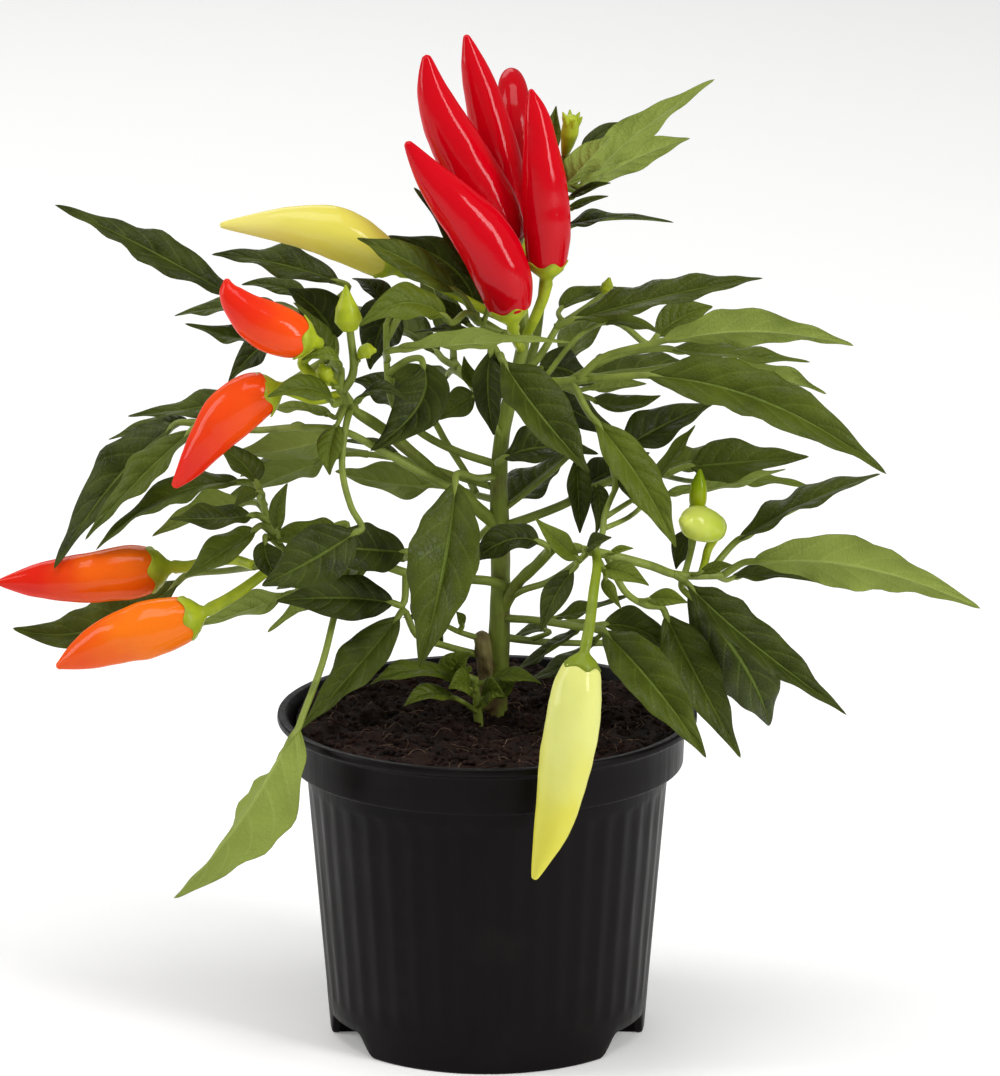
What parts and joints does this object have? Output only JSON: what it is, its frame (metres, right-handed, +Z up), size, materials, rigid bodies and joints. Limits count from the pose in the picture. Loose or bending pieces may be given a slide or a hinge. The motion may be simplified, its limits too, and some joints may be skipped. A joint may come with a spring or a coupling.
{
  "type": "potted chilli pepper plant",
  "caption": "Young chilli pepper plant with upright and hanging fruit in red, orange and pale yellow, in soil in a fluted black nursery pot.",
  "frame": {"origin": "middle of the ground under the whole plant; the pot's axis is about 2 mm behind it", "axes": "+Z up along the stem, -Y the front as seen in the picture, +X to the right of the front"},
  "size_m": [0.2782, 0.1458, 0.287],
  "materials": {
    "pot_plastic": "thin black polypropylene, satin",
    "peat": null,
    "stem": "green stem, woody and brown at the foot",
    "leaf": null,
    "fruit_red": null,
    "fruit_scarlet": "waxy, glossy skin turning from orange to red",
    "fruit_orange": "waxy, glossy skin turning from orange to red",
    "fruit_yellow": "waxy, glossy unripe pale yellow skin",
    "fruit_green": "waxy, glossy unripe yellow-green skin"
  },
  "bodies": {
    "root": {"pot": "pot_plastic", "soil": "peat", "main_stem": "stem", "left_shoot": "leaf", "left_back_shoot": "leaf", "far_left_leaves": "leaf", "inner_left_leaves": "leaf", "left_middle_leaf": "leaf", "left_lower_branch": "leaf", "low_left_leaf": "leaf", "stump_leaves": "leaf", "left_inner_shoot": "leaf", "front_leaf": "leaf", "crown_shoot": "leaf", "crown_front_leaves": "leaf", "neck_leaves": "leaf", "inner_right_leaf": "leaf", "top_right_shoot": "leaf", "upper_right_shoot": "leaf", "right_fan": "leaf", "right_middle_shoot": "leaf", "right_hanging_leaf": "leaf", "middle_leaf": "leaf", "right_shoot": "leaf", "low_right_leaves": "leaf", "low_back_leaves": "leaf", "back_left_leaves": "leaf", "middle_back_leaves": "leaf", "back_right_leaves": "leaf", "basal_shoot": "leaf", "fruit_red_front": "fruit_red", "fruit_red_left": "fruit_red", "fruit_red_middle": "fruit_red", "fruit_red_back": "fruit_red", "fruit_red_right": "fruit_red", "fruit_yellow_upper": "fruit_yellow", "fruit_scarlet_upper": "fruit_scarlet", "fruit_scarlet_lower": "fruit_scarlet", "fruit_orange_far": "fruit_orange", "fruit_orange_near": "fruit_orange", "fruit_yellow_hanging": "fruit_yellow", "fruit_squat": "fruit_green", "fruit_green_small": "fruit_green"}
  },
  "joints": []
}
